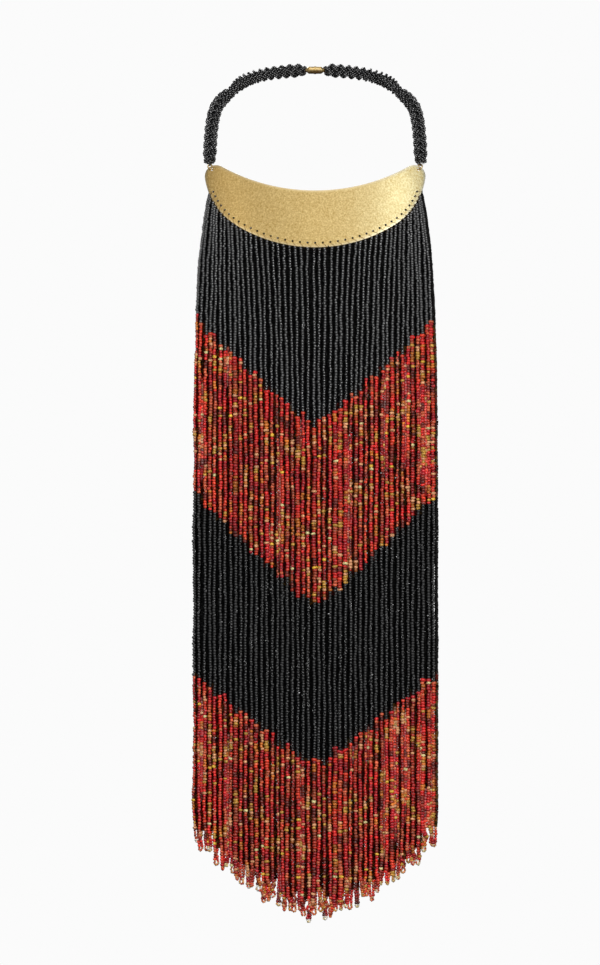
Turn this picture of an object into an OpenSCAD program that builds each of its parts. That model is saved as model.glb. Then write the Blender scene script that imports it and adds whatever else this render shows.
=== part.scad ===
// Beaded fringe necklace: a bent brass crescent on a plaited cord of seed beads,
// with a long fringe of bead strands in black and red bands.
// Millimetres. The origin is the nape of the neck, +Z is up and the front faces -Y.

/* [Plate] */
// Width of the crescent plate from horn to horn
plate_w = 178; // [174:1:184]
// Height of the plate at its middle
plate_h = 46; // [42:1:50]
// Thickness of the sheet brass
plate_t = 1; // [0.8:0.1:1.4]
// Drop from the nape to the plate's lowest point
plate_drop = 145; // [130:1:165]
// Reach of that lowest point in front of the nape
plate_reach = 143; // [130:1:160]
// Radius that the plate is bent to, round the base of the neck
bend_r = 150; // [130:1:220]
// Lean of the plate, its lower edge forward
plate_lean = 19; // [12:1:26]
// Radius of the lower edge under the middle
edge_r = 120; // [112:1:128]
// Angle that this arc takes up on each side of the middle
edge_angle = 32; // [29:1:34]
// Radius of the round end of each horn
horn_r = 9; // [8:0.5:10]
// Direction in which the lower edge runs into the round end, from straight down
horn_angle = 82; // [78:1:86]

/* [Holes and rings] */
// Stringing holes along the lower edge
hole_count = 37; // [25:2:41]
// Diameter of a stringing hole
hole_d = 1.7; // [1.2:0.1:2]
// Distance of the stringing holes from the lower edge
hole_inset = 3.7; // [2.5:0.1:5]
// Length of the lower edge from the middle to the last hole
row_half = 101; // [94:1:104]
// Extra spacing of the holes at the middle, as a share
row_stretch = 0.12; // [0:0.01:0.2]
// Diameter of the hole in each horn
horn_hole_d = 2.4; // [2.2:0.1:2.6]
// Distance of that hole from the horn's edge
horn_hole_inset = 2.6; // [2.2:0.1:3]
// Thickness of the jump ring's wire
ring_wire = 1.2; // [0.8:0.1:1.2]
// Diameter of the jump ring along the middle of its wire
ring_d = 5; // [4.8:0.1:5.4]
// Turn of the ring in its hole, so that its front faces outwards
ring_turn = 27; // [0:1:30]

/* [Braid and clasp] */
// Length of the braid in which each ply comes back to the same edge
braid_pitch = 21; // [20:1:26]
// Swing of a ply to each side of the braid's middle
braid_swing = 3.6; // [3.6:0.1:4]
// Rise and fall of a ply where it passes over and under
braid_rise = 2.6; // [2.5:0.1:3.2]
// Width of one ply, which holds three strings of beads
ply_w = 3.6; // [3:0.1:3.6]
// Thickness of one ply
ply_t = 2.4; // [1.6:0.1:2.4]
// Length of the barrel clasp
clasp_l = 15; // [12:1:15]
// Diameter of the barrel clasp
clasp_d = 6.4; // [5:0.2:7]

/* [Fringe] */
// Strands in the fringe, every other one in front
strand_count = 94; // [60:2:94]
// Distance from the fringe's middle to its outermost strand, where it hangs free
fringe_half_w = 97; // [92:1:102]
// Diameter of a fringe bead
bead_d = 3; // [2.4:0.1:3.2]
// Distance between the front and the back layer of strands
layer_gap = 3.5; // [3:0.1:4]
// Gap under the plate's edge and between two bands
fringe_gap = 0.3; // [0.3:0.1:0.5]
// Reach of the fringe in front of the plate's lowest point
fringe_reach = 30; // [20:1:40]
// Curve of the hanging fringe, from its sides to its middle
fringe_bow = 14; // [6:1:24]
// Drop at which the fringe leaves the chest and hangs straight
free_drop = 310; // [280:5:340]
// Drop to the first red band at the sides
red_1_top_side = 202; // [196:1:215]
// Drop to the first red band at the middle
red_1_top_middle = 284; // [270:1:295]
// Drop to the end of the first red band at the sides
red_1_end_side = 342; // [325:1:360]
// Drop to the end of the first red band at the middle
red_1_end_middle = 428; // [410:1:445]
// Drop to the second red band at the sides
red_2_top_side = 487; // [470:1:505]
// Drop to the second red band at the middle
red_2_top_middle = 557; // [540:1:575]
// Drop to the tips at the sides
tip_side = 622; // [600:1:640]
// Drop to the tips at the middle
tip_middle = 682; // [660:1:700]
// Unevenness of the bands' borders from strand to strand
ragged = 5; // [0:0.5:6]

/* [Hidden] */

brass = "#c9a75c";
black_glass = "#17171a";
red_glass = "#a5281c";

right = 1;
left = -1;
deg = 180 / PI;
seat_gap = 0.5;
ring_seat_gap = 0.6;
// Direction of the ring from the horn's centre, from straight up
ring_angle = 30;

// The plate's outline is worked out in a plane seen from the front, as [x, z].
// Its lower edge is a wide arc that runs into a tighter shoulder arc on each side.
edge_centre = [0, edge_r - plate_drop];
shoulder_r = (plate_w / 2 - edge_r * sin(edge_angle)) / (1 - sin(edge_angle));
shoulder_centre = edge_centre + (edge_r - shoulder_r) * from_down(edge_angle);
horn_centre = shoulder_centre + (shoulder_r - horn_r) * from_down(horn_angle);
edge_half_l = edge_r * edge_angle / deg;

// The hollow upper edge is one arc that touches both horns and takes the height left.
hollow_low = plate_h - plate_drop;
horn_rise = horn_centre[1] - hollow_low;
hollow_r = (pow(horn_centre[0], 2) + pow(horn_rise, 2) - pow(horn_r, 2)) / (2 * (horn_r + horn_rise));
hollow_centre = [0, hollow_low + hollow_r];
hollow_angle = atan(horn_centre[0] / (hollow_centre[1] - horn_centre[1]));

shell_fn = 360;
round_fn = 48;
arc_step = 2;

// Unit vector in the outline's plane, turned up from straight down towards a side.
function from_down(angle) = [sin(angle), -cos(angle)];

function arc(centre, r, start, end) =
    let (count = ceil(abs(end - start) / arc_step))
    [for (i = [0 : count]) centre + r * from_down(start + (end - start) * i / count)];

function flipped(points) = [for (i = [len(points) - 1 : -1 : 0]) [-points[i][0], points[i][1]]];

function without_ends(points) = [for (i = [1 : len(points) - 2]) points[i]];

// Point beside the lower edge: s runs along the edge from the middle, out leads off the plate.
function edge_point(s, out) =
    let (side = s < 0 ? left : right, past = abs(s) - edge_half_l)
    past < 0
        ? edge_centre + (edge_r + out) * from_down(s / edge_r * deg)
        : let (p = shoulder_centre + (shoulder_r + out) * from_down(edge_angle + past / shoulder_r * deg))
          [side * p[0], p[1]];

// Place along the lower edge of a hole or strand at share u, from -1 on the left to 1.
function row_place(u) = row_half * ((1 + row_stretch) * u - row_stretch * pow(u, 3));

// Depth of the plate's middle surface, which is a leaning cylinder, behind a front view point.
function plate_y(p) =
    -plate_reach + (p[1] + plate_drop) * tan(plate_lean)
    + (bend_r - sqrt(pow(bend_r, 2) - pow(p[0], 2))) / cos(plate_lean);

function on_plate(p) = [p[0], plate_y(p), p[1]];

// Turns a child whose -Y is the plate's outward normal to stand on the plate at p.
module at_plate(p) {
    translate(on_plate(p))
        rotate([-plate_lean, 0, 0])
            rotate([0, 0, asin(p[0] / bend_r)])
                children();
}

module plate_outline() {
    lower = arc(edge_centre, edge_r, 0, edge_angle);
    shoulder = arc(shoulder_centre, shoulder_r, edge_angle, horn_angle);
    horn = arc(horn_centre, horn_r, horn_angle, 180 + hollow_angle);
    hollow = arc(hollow_centre, hollow_r, hollow_angle, 0);
    half = concat(lower, without_ends(shoulder), horn, without_ends(hollow));
    polygon(concat(half, [[0, hollow_low]], flipped([for (i = [1 : len(half) - 1]) half[i]])));
}

module bent_sheet() {
    sheet_l = 4 * plate_w;
    rotate([-plate_lean, 0, 0])
        difference() {
            cylinder(h = sheet_l, r = bend_r + plate_t / 2, center = true, $fn = shell_fn);
            cylinder(h = sheet_l + plate_t, r = bend_r - plate_t / 2, center = true, $fn = shell_fn);
        }
}

module drill(p, d) {
    drill_l = 8 * plate_t;
    at_plate(p)
        rotate([90, 0, 0])
            cylinder(h = drill_l, d = d, center = true, $fn = round_fn);
}

function horn_hole(side) =
    let (p = horn_centre + (horn_r - horn_hole_inset) * from_down(180 - ring_angle))
    [side * p[0], p[1]];

module crescent_plate() {
    axis_y = bend_r / cos(plate_lean) - plate_reach;
    front = plate_reach + bend_r;
    color(brass)
        difference() {
            intersection() {
                translate([0, axis_y, -plate_drop])
                    bent_sheet();
                rotate([90, 0, 0])
                    linear_extrude(front)
                        plate_outline();
            }
            for (i = [0 : hole_count - 1])
                drill(edge_point(row_place(2 * i / (hole_count - 1) - 1), -hole_inset), hole_d);
            for (side = [left, right])
                drill(horn_hole(side), horn_hole_d);
        }
}

module jump_ring(side) {
    color(brass)
        at_plate(horn_hole(side))
            rotate([0, side * ring_angle, 0])
                rotate([0, 0, side * ring_turn])
                    translate([0, 0, ring_d / 2])
                        rotate([0, 90, 0])
                            rotate_extrude($fn = round_fn)
                                translate([ring_d / 2, 0])
                                    circle(d = ring_wire, $fn = round_fn);
}

// Barrel: two half shells on a middle band, each drawn in to a collar for the threads.
clasp_band_w = 1.6;
clasp_band_step = 0.3;
clasp_taper_l = 1.7;
clasp_collar_l = 0.8;

module barrel_clasp() {
    band_r = clasp_d / 2;
    body_r = band_r - clasp_band_step;
    collar_r = band_r / 2;
    band_half = clasp_band_w / 2;
    end_half = clasp_l / 2;
    collar_half = end_half - clasp_collar_l;
    body_half = collar_half - clasp_taper_l;
    half = [[body_r, band_half], [body_r, body_half], [collar_r, collar_half], [collar_r, end_half]];
    color(brass)
        rotate([0, 90, 0])
            rotate_extrude($fn = round_fn)
                polygon(concat(
                    [[0, -end_half]],
                    [for (i = [len(half) - 1 : -1 : 0]) [half[i][0], -half[i][1]]],
                    [[band_r, -band_half], [band_r, band_half]],
                    half,
                    [[0, end_half]]
                ));
}

// Point off the horn's hole, in the plate's plane and in line with the ring.
function on_ring(side, out) =
    let (
        turn = asin(horn_hole(side)[0] / bend_r),
        across = out * sin(side * ring_angle),
        up = out * cos(ring_angle)
    )
    on_plate(horn_hole(side)) + [
        across * cos(turn),
        across * sin(turn) * cos(plate_lean) + up * sin(plate_lean),
        up * cos(plate_lean) - across * sin(turn) * sin(plate_lean)
    ];

// The braid's route on the right: from the clasp round the side of the neck to the ring.
ring_top = on_ring(right, ring_d + ring_wire / 2 + ring_seat_gap);
route_knots = [
    [clasp_l / 2 + seat_gap, 0, 0], [23, -4, -1], [42, -15, -4], [56, -32, -9],
    [64.5, -49, -15], [73, -62, -23], [79.5, -72, -32], [82.5, -80, -44],
    [84, -87, -59], [84.5, -91, -70], ring_top
];
knot_steps = 8;

// Smooth curve through b and c, the middle two of four knots.
function smooth(a, b, c, d, t) =
    b + t / 2 * (c - a) + pow(t, 2) / 2 * (2 * a - 5 * b + 4 * c - d)
    + pow(t, 3) / 2 * (3 * b - a - 3 * c + d);

last_knot = len(route_knots) - 1;
route = concat(
    [for (i = [0 : last_knot - 1]) for (k = [0 : knot_steps - 1])
        smooth(
            route_knots[max(i - 1, 0)], route_knots[i],
            route_knots[i + 1], route_knots[min(i + 2, last_knot)], k / knot_steps
        )],
    [route_knots[last_knot]]
);
function step_after(i) = i < len(route) - 1 ? norm(route[i + 1] - route[i]) : 0;
run = [for (i = 0, s = 0; i < len(route); s = s + step_after(i), i = i + 1) s];
braid_l = run[len(run) - 1];
by_run = [for (axis = [0 : 2]) [for (i = [0 : len(route) - 1]) [run[i], route[i][axis]]]];

function along(s) = [for (axis = [0 : 2]) lookup(s, by_run[axis])];

function unit(v) = v / norm(v);

function heading(s) = unit(along(min(s + 1, braid_l)) - along(max(s - 1, 0)));

// The braid's flat face looks back at the nape and turns to the front at the side of the neck.
face_start = 90;
face_turn = 165;
turned_share = 0.75;
function facing(s) =
    let (
        share = min(1, s / braid_l / turned_share),
        bearing = face_start - face_turn * (3 * pow(share, 2) - 2 * pow(share, 3)),
        rough = [cos(bearing), sin(bearing), 0],
        ahead = heading(s)
    )
    unit(rough - (rough * ahead) * ahead);

// The plies draw together at both ends, where their threads are tied.
end_size = 0.6;
end_draw = 5;
function fullness(s) = min(1, end_size + (1 - end_size) * min(s, braid_l - s) / end_draw);

ply_rings = 84;
ply_sides = 8;
function ply_ring(ply, s) =
    let (
        out = facing(s),
        across = cross(heading(s), out),
        phase = 360 * s / braid_pitch + 120 * ply,
        size = fullness(s),
        middle = along(s) + size * (braid_swing * sin(phase) * across + braid_rise * sin(2 * phase) * out)
    )
    [for (i = [0 : ply_sides - 1])
        let (turn = 360 * (i + 0.5) / ply_sides)
        middle + size / 2 * (ply_w * cos(turn) * across + ply_t * sin(turn) * out)];

// Two triangles for a face of four corners that don't lie in one plane.
function halves(q) = [[q[0], q[1], q[2]], [q[0], q[2], q[3]]];

// Skin of a tube given as rings of equal length, one after the other, closed at both ends.
function tube_faces(rings, sides) = concat(
    [[for (i = [0 : sides - 1]) i]],
    [for (r = [0 : rings - 2]) for (i = [0 : sides - 1])
        let (a = r * sides + i, b = r * sides + (i + 1) % sides)
        each halves([a, a + sides, b + sides, b])],
    [[for (i = [sides - 1 : -1 : 0]) (rings - 1) * sides + i]]
);

module braid_ply(side, ply) {
    color(black_glass)
        mirror([side < 0 ? 1 : 0, 0, 0])
            polyhedron(
                points = [for (r = [0 : ply_rings - 1]) each ply_ring(ply, braid_l * r / (ply_rings - 1))],
                faces = tube_faces(ply_rings, ply_sides)
            );
}

// Strands are numbered from the left. Even ones hang in front, odd ones behind.
last_strand = strand_count - 1;
function share(strand) = 2 * strand / last_strand - 1;

function strand_top(strand) = edge_point(row_place(share(strand)), fringe_gap);

// Length in which a strand closes in on the place where it hangs free.
flare_l = 57;

function strand_point(strand, z) =
    let (
        u = share(strand),
        top = strand_top(strand),
        spread = 1 - exp((z - top[1]) / flare_l),
        slope_left = pow(1 - min(1, (top[1] - z) / (top[1] + free_drop)), 2),
        hang_y = fringe_bow * pow(u, 2) - plate_reach - fringe_reach
    )
    [
        top[0] + (fringe_half_w * u - top[0]) * spread,
        hang_y + (plate_y(top) - hang_y) * slope_left,
        z
    ];

// Share of the way from the side's level to the middle's: a vee with a blunt point, or a swag.
blunt = 0.1;
swag_power = 1.6;
function vee(u) = 1 - (norm([u, blunt]) - blunt) / (norm([1, blunt]) - blunt);
function swag(u) = 1 - pow(abs(u), swag_power);

// Uneven but fixed, from two waves that never fall in step with the strands.
// Each wave is its share, its turn from strand to strand and its turn from level to level.
waves = [[0.6, 137.5, 77], [0.4, 61, 23]];
function unevenness(strand, level) =
    ragged * (wave_at(waves[0], strand, level) + wave_at(waves[1], strand, level));
function wave_at(wave, strand, level) = wave[0] * sin(wave[1] * strand + wave[2] * level);

// Drops that divide the bands, at the side and the middle. Level 0 is the plate's edge
// and level 4 the tips, which the two strands of each loop share.
drops = [
    [], [red_1_top_side, red_1_top_middle], [red_1_end_side, red_1_end_middle],
    [red_2_top_side, red_2_top_middle], [tip_side, tip_middle]
];
tips = 4;

function level_z(strand, level) =
    level == 0 ? strand_top(strand)[1] :
    let (
        u = share(strand),
        inward = level == tips ? swag(u) : vee(u),
        number = level == tips ? 2 * floor(strand / 2) : strand
    )
    unevenness(number, level) - drops[level][0] - (drops[level][1] - drops[level][0]) * inward;

// Front and back of a strand where it stands proud, and of the web that joins it to the next.
proud = (layer_gap + bead_d) / 2;
web = 2;

// The sheet's two side edges run along the outermost beads' outer sides.
function side_reach(strand) =
    strand == 0 ? [-bead_d / 2, 0, 0] :
    strand == last_strand ? [bead_d / 2, 0, 0] : [0, 0, 0];

// One band: strands side by side in two layers, joined into a ribbed sheet.
band_rows = [5, 4, 2, 2];
function band_points(level, rows) = [
    for (row = [0 : rows]) for (strand = [0 : last_strand])
        let (
            top = level_z(strand, level) - (level == 0 ? 0 : fringe_gap / 2),
            end = level_z(strand, level + 1) + (level + 1 == tips ? 0 : fringe_gap / 2),
            p = strand_point(strand, top + (end - top) * row / rows) + side_reach(strand),
            in_front = strand % 2 == 0
        )
        each [p - [0, in_front ? proud : web, 0], p + [0, in_front ? web : proud, 0]]
];

function band_faces(rows) =
    let (across = 2 * strand_count)
    concat(
        [for (row = [0 : rows - 1]) for (k = [0 : 2 : across - 4])
            let (a = row * across + k, b = a + across)
            each concat(halves([a, a + 2, b + 2, b]), halves([a + 1, b + 1, b + 3, a + 3]))],
        [for (row = [0 : rows - 1])
            let (a = row * across, b = a + across, c = b - 2, d = c + across)
            each concat(halves([a, b, b + 1, a + 1]), halves([c, c + 1, d + 1, d]))],
        [for (k = [0 : 2 : across - 4])
            let (low = rows * across + k)
            each concat(halves([k, k + 1, k + 3, k + 2]), halves([low, low + 2, low + 3, low + 1]))]
    );

module fringe_band(level, tint) {
    rows = band_rows[level];
    color(tint)
        polyhedron(points = band_points(level, rows), faces = band_faces(rows));
}

module fringe_black_upper() {
    fringe_band(0, black_glass);
}

module fringe_red_upper() {
    fringe_band(1, red_glass);
}

module fringe_black_lower() {
    fringe_band(2, black_glass);
}

module fringe_red_lower() {
    fringe_band(3, red_glass);
}

crescent_plate();
jump_ring(left);  // jump_ring_left
jump_ring(right);  // jump_ring_right
braid_ply(left, 0);  // braid_left_ply_1
braid_ply(left, 1);  // braid_left_ply_2
braid_ply(left, 2);  // braid_left_ply_3
braid_ply(right, 0);  // braid_right_ply_1
braid_ply(right, 1);  // braid_right_ply_2
braid_ply(right, 2);  // braid_right_ply_3
barrel_clasp();
fringe_black_upper();
fringe_red_upper();
fringe_black_lower();
fringe_red_lower();
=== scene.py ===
"""Beaded fringe necklace: the looks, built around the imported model. Metres, front to -Y."""

import math

import bmesh
import bpy
import numpy as np
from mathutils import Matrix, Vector, geometry


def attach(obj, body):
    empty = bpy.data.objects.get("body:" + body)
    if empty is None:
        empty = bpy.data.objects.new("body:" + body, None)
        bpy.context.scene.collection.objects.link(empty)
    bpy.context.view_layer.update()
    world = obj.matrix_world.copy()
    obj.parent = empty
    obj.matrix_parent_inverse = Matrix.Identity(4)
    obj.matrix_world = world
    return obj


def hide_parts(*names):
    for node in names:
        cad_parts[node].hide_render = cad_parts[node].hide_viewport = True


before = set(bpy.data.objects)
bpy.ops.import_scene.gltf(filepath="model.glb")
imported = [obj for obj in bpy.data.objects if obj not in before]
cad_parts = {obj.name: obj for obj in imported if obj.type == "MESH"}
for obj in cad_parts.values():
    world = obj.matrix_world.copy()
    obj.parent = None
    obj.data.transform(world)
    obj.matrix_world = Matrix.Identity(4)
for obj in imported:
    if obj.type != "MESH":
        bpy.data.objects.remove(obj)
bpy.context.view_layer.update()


# Camera, floor and lights
# A long lens looks level at the front of the necklace, which hangs in the air over a white
# floor as it hangs when it is worn. Each soft box in front lights one kind of piece, so that
# black glass, red glass and brass all keep their depth in one picture.

MM = 0.001
PHOTO_SCALE = 0.8 * MM  # metres to a pixel of the 600 x 965 picture, at the fringe
PHOTO_ZERO = (315.2, 66.0)  # the origin in the picture, in pixels from the top left
PHOTO_SIZE = (600, 965)
fringe_plane_y = -165 * MM
camera_reach = 16.0
floor_z = -0.88
floor_r = 2.6


def linear(hex_colour):
    """sRGB hex to linear red, green, blue and alpha."""
    channels = [int(hex_colour[i:i + 2], 16) / 255 for i in (1, 3, 5)]
    return (*[c / 12.92 if c <= 0.04045 else ((c + 0.055) / 1.055) ** 2.4 for c in channels], 1.0)


def set_inputs(node, inputs):
    """Fills a node's inputs with values, or links them to outputs or to nodes' first outputs."""
    for socket, value in inputs.items():
        if isinstance(value, bpy.types.Node):
            value = value.outputs[0]
        if isinstance(value, bpy.types.NodeSocket):
            node.id_data.links.new(value, node.inputs[socket])
        else:
            node.inputs[socket].default_value = value


def add_node(tree, kind, inputs=None, **settings):
    """Adds a node, sets it, and fills or links its inputs."""
    node = tree.nodes.new(kind)
    for name, value in settings.items():
        setattr(node, name, value)
    set_inputs(node, inputs or {})
    return node


def new_material(name):
    """A material, its node tree and its shader."""
    material = bpy.data.materials.new(name)
    material.use_nodes = True
    return material, material.node_tree, material.node_tree.nodes["Principled BSDF"]


def new_piece(name, mesh, material=None):
    """An object at the origin that holds the mesh."""
    piece = bpy.data.objects.new(name, mesh)
    bpy.context.scene.collection.objects.link(piece)
    if material:
        mesh.materials.clear()
        mesh.materials.append(material)
    return piece


view_centre = Vector((
    (PHOTO_SIZE[0] / 2 - PHOTO_ZERO[0]) * PHOTO_SCALE,
    fringe_plane_y,
    (PHOTO_ZERO[1] - PHOTO_SIZE[1] / 2) * PHOTO_SCALE,
))
camera = bpy.data.objects.new("camera", bpy.data.cameras.new("camera"))
camera.location = view_centre - Vector((0, camera_reach, 0))
camera.rotation_euler = (math.radians(90), 0, 0)
camera.data.sensor_width = 36
camera.data.lens = camera.data.sensor_width * camera_reach / (PHOTO_SIZE[1] * PHOTO_SCALE)
camera.data.clip_end = 60
bpy.context.scene.collection.objects.link(camera)
bpy.context.scene.camera = camera
bpy.context.scene.view_settings.view_transform = "Standard"

# Matt white floor paint: a pale and even ground, with no gloss to draw the eye.
floor_paint, _, shader = new_material("matt_white_studio_floor")
set_inputs(shader, {"Base Color": linear("#ECECEA"), "Roughness": 0.9})

floor_mesh = bpy.data.meshes.new("studio_floor")
disc = bmesh.new()
bmesh.ops.create_circle(disc, cap_ends=True, radius=floor_r, segments=96)
bmesh.ops.translate(disc, verts=disc.verts, vec=(0, 0, floor_z))
disc.to_mesh(floor_mesh)
disc.free()
floor = new_piece("studio_floor", floor_mesh, floor_paint)
floor.visible_glossy = False
floor.visible_diffuse = False

# The camera sees a white room, which itself gives only a dim fill.
world = bpy.data.worlds.new("studio")
world.use_nodes = True
world.node_tree.nodes.clear()
seen = add_node(world.node_tree, "ShaderNodeBackground", {"Color": linear("#FBFBFB"), "Strength": 1.0})
fill = add_node(world.node_tree, "ShaderNodeBackground", {"Color": linear("#E4E6EA"), "Strength": 0.02})
ray = add_node(world.node_tree, "ShaderNodeLightPath")
pick = add_node(world.node_tree, "ShaderNodeMixShader", {
    0: ray.outputs["Is Camera Ray"], 1: fill, 2: seen})
add_node(world.node_tree, "ShaderNodeOutputWorld", {"Surface": pick})
bpy.context.scene.world = world


def soft_box(name, spot, aim, width, height, watts, tint, only=None):
    """A flat lamp that faces its aim, and lights only one collection if that is given."""
    lamp = bpy.data.objects.new(name, bpy.data.lights.new(name, "AREA"))
    lamp.data.shape = "RECTANGLE"
    lamp.data.size = width
    lamp.data.size_y = height
    lamp.data.energy = watts
    lamp.data.color = linear(tint)[:3]
    lamp.location = spot
    lamp.rotation_euler = (Vector(aim) - Vector(spot)).to_track_quat("-Z", "Y").to_euler()
    bpy.context.scene.collection.objects.link(lamp)
    if only:
        lamp.light_linking.receiver_collection = only


chest = (0, -0.15, -0.35)
bib = (0.02, -0.12, -0.12)
in_front, from_behind, overhead = (0.3, -2.4, 0.3), (-0.4, 2.4, 0.6), (0, 0, 3.0)
soft_box("right_soft_box", (1.7, -1.55, 0.0), chest, 0.45, 1.5, 8, "#FFFCF8")
soft_box("left_soft_box", (-1.7, -1.55, 0.0), chest, 0.45, 1.5, 5.5, "#F8FAFF")
soft_box("back_soft_box", (-0.7, 1.6, 0.7), chest, 0.9, 0.9, 8, "#FFFFFF")
lit_pieces = {
    word: bpy.data.collections.new(f"{word}_pieces")
    for word in ("upper_jet", "lower_jet", "red", "plait", "rear", "floor", "brass")}
for word, spot, width, height, watts in (
        ("upper_jet", in_front, 2.8, 0.7, 92), ("lower_jet", in_front, 2.8, 0.7, 40),
        ("red", in_front, 2.8, 1.2, 45), ("plait", in_front, 2.8, 0.6, 68),
        ("rear", from_behind, 2.4, 1.4, 60), ("floor", overhead, 5.0, 5.0, 340)):
    soft_box(f"{word}_soft_box", spot, chest, width, height, watts, "#FFFFFF", lit_pieces[word])
for name, spot, width, height, watts, tint in (
        ("brass_sky", (0.1, -1.9, 1.1), 2.6, 1.3, 13, "#FFFBF5"),
        ("brass_overhead", (0, -0.5, 1.3), 1.8, 0.6, 8, "#FFFFFF"),
        ("brass_right_glow", (1.5, -1.0, 0.6), 0.8, 0.8, 12, "#C8DCFF"),
        ("brass_left_glow", (-1.5, -1.0, 0.6), 0.8, 0.8, 3.5, "#FFF0D8")):
    soft_box(name, spot, bib, width, height, watts, tint, lit_pieces["brass"])


def light(piece, *words):
    """Puts a piece in the light of the lamps so named."""
    for word in words:
        lit_pieces[word].objects.link(piece)


light(floor, "floor")


# Crescent plate
# One millimetre brass sheet, sawn to a crescent, hammered and brushed on its face, and bent
# like a collar. 37 stringing holes follow the lower edge, and one is in each horn.

plate_w = 178 * MM
plate_h = 46 * MM
plate_t = 1 * MM
plate_drop = 145 * MM
plate_reach = 143 * MM
bend_r = 150 * MM
plate_lean = math.radians(19)
edge_r = 120 * MM
edge_angle = math.radians(32)
horn_r = 9 * MM
horn_angle = math.radians(82)
hole_count = 37
hole_d = 1.7 * MM
hole_inset = 3.7 * MM
row_half = 101 * MM
row_stretch = 0.12
horn_hole_d = 2.4 * MM
horn_hole_inset = 2.6 * MM
ring_angle = math.radians(30)
LEFT, RIGHT = -1, 1


def from_down(angle):
    """Unit vector in the front view, turned up from straight down towards +X."""
    return np.array((math.sin(angle), -math.cos(angle)))


edge_centre = np.array((0, edge_r - plate_drop))
shoulder_r = (plate_w / 2 - edge_r * math.sin(edge_angle)) / (1 - math.sin(edge_angle))
shoulder_centre = edge_centre + (edge_r - shoulder_r) * from_down(edge_angle)
horn_centre = shoulder_centre + (shoulder_r - horn_r) * from_down(horn_angle)
hollow_low = plate_h - plate_drop
horn_rise = horn_centre[1] - hollow_low
hollow_r = (horn_centre[0] ** 2 + horn_rise ** 2 - horn_r ** 2) / (2 * (horn_r + horn_rise))
hollow_centre = np.array((0, hollow_low + hollow_r))
hollow_angle = math.atan(horn_centre[0] / (hollow_centre[1] - horn_centre[1]))


def edge_point(s, out):
    """Front view point beside the lower edge, s along it from the middle."""
    past = abs(s) - edge_r * edge_angle
    if past < 0:
        return edge_centre + (edge_r + out) * from_down(s / edge_r)
    x, z = shoulder_centre + (shoulder_r + out) * from_down(edge_angle + past / shoulder_r)
    return np.array((math.copysign(x, s), z))


def row_place(share):
    """Place along the lower edge of a hole or strand, share -1 on the left to 1."""
    return row_half * ((1 + row_stretch) * share - row_stretch * share ** 3)


def hole_share(k):
    """Place of a hole in the row, from -1 on the left to 1."""
    return 2 * k / (hole_count - 1) - 1


def plate_y(x, z):
    """Depth of the sheet's middle behind a front view point."""
    lean_back = (z + plate_drop) * math.tan(plate_lean) - plate_reach
    return lean_back + (bend_r - np.sqrt(bend_r ** 2 - x ** 2)) / math.cos(plate_lean)


def plate_normal(x):
    """The sheet's outward direction, which changes only across it."""
    turn = np.arcsin(x / bend_r)
    return np.stack((
        np.sin(turn), -np.cos(turn) * math.cos(plate_lean), np.cos(turn) * math.sin(plate_lean)), -1)


rim_round = 0.3 * MM
hole_round = 0.06 * MM
hole_sides, horn_hole_sides = 14, 16
worn_w = 1.6 * MM
worn_depth = 0.14 * MM
dent_unit = 0.007 * MM
back_shift = 7 * MM
grain = 1.35 * MM  # spacing of the sheet's points
row_step = grain * 0.866
loosening = 0.16
off_outline, off_hole = grain * 0.62, grain * 0.8  # room left beside the sheet's edges
up = math.pi  # as a turn from straight down
half_outline = []
for centre, r, start, end in (
        (edge_centre, edge_r - rim_round, 0, edge_angle),
        (shoulder_centre, shoulder_r - rim_round, edge_angle, horn_angle),
        (horn_centre, horn_r - rim_round, horn_angle, up + hollow_angle),
        (hollow_centre, hollow_r + rim_round, hollow_angle, 0)):
    count = max(2, round(abs(end - start) * r / grain))
    half_outline += [centre + r * from_down(start + (end - start) * i / count) for i in range(count)]
outline = np.array(
    half_outline + [(0, hollow_low - rim_round)] + [(-x, z) for x, z in half_outline[:0:-1]])
hole_rims = []
for k in range(hole_count):
    hole_rims.append((edge_point(row_place(hole_share(k)), -hole_inset), hole_d / 2, hole_sides))
horn_hole = horn_centre + (horn_r - horn_hole_inset) * from_down(up - ring_angle)
for side in (LEFT, RIGHT):
    hole_rims.append((horn_hole * (side, 1), horn_hole_d / 2, horn_hole_sides))


def hammered_height(x, z):
    """Shallow overlapping dents, a couple of millimetres across."""
    height = np.zeros_like(x)
    for turn, wave, depth in ((0.3, 3.4, 1.0), (1.4, 2.7, 0.9), (2.5, 4.1, 1.1), (0.9, 5.3, 0.8)):
        along = (x * math.cos(turn) + z * math.sin(turn)) / (wave * MM)
        cross = (z * math.cos(turn) - x * math.sin(turn)) / (wave * 1.3 * MM)
        height += depth * np.sin(along * math.tau + 1.7 * np.sin(cross * 4)) * np.cos(cross * math.tau)
    return height * dent_unit


def inside(points, loop):
    """Which points lie within a closed loop."""
    x, z = points[:, 0], points[:, 1]
    crossings = np.zeros(len(points), bool)
    for (x1, z1), (x2, z2) in zip(loop, np.roll(loop, -1, 0)):
        spans = (z1 > z) != (z2 > z)
        with np.errstate(divide="ignore", invalid="ignore"):
            crossings ^= spans & (x < (x2 - x1) * (z - z1) / (z2 - z1) + x1)
    return crossings


dice = np.random.default_rng(11)
rows = np.arange(outline[:, 1].min(), outline[:, 1].max(), row_step)
places = np.arange(-plate_w / 2, plate_w / 2, grain)
lattice = np.array([(x + (grain / 2 if i % 2 else 0), z) for i, z in enumerate(rows) for x in places])
lattice += dice.uniform(-loosening, loosening, lattice.shape) * grain
keep = inside(lattice, outline)
for x, z in outline:
    keep &= np.hypot(lattice[:, 0] - x, lattice[:, 1] - z) > off_outline
loops = [outline]
for centre, r, count in hole_rims:
    keep &= np.hypot(*(lattice - centre).T) > r + off_hole
    angles = -math.tau * np.arange(count) / count
    loops.append(centre + (r + hole_round) * np.stack((np.cos(angles), np.sin(angles)), -1))
lattice = lattice[keep]

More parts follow.
